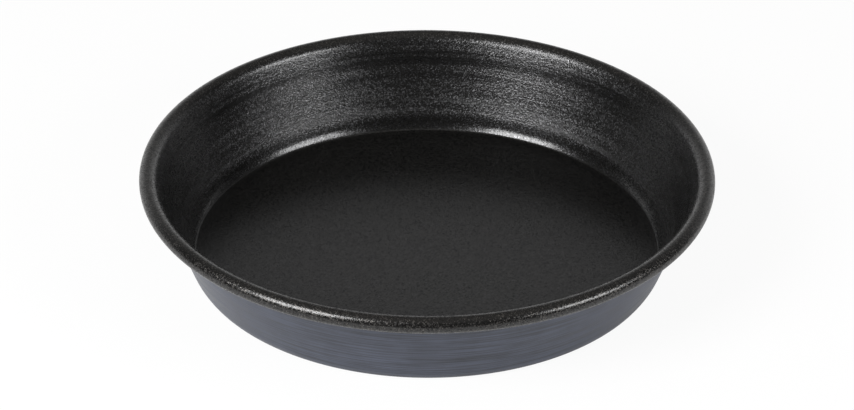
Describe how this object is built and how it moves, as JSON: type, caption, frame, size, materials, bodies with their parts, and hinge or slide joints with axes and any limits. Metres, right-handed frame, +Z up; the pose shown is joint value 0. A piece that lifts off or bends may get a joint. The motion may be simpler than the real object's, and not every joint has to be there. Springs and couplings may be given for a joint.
{
  "type": "pie pan",
  "caption": "Round shallow pie pan with a flat floor, a flared wall and an edge rolled over a wire, black non-stick inside and grey anodised outside.",
  "frame": {"origin": "centre of the flat foot, on the surface that the pan stands on", "axes": "+Z up along the pan's axis, out of its mouth; X and Y in the surface that it stands on"},
  "size_m": [0.2402, 0.2402, 0.041],
  "materials": {
    "anodised_shell": "satin, hard anodised, with fine spinning lines",
    "nonstick_lining": "sprayed black non-stick, half gloss with an orange-peel grain",
    "zinced_wire": "bright zinc plate"
  },
  "bodies": {
    "root": {"pan_shell": "anodised_shell", "nonstick_lining": "nonstick_lining", "rim_wire": "zinced_wire"}
  },
  "joints": []
}
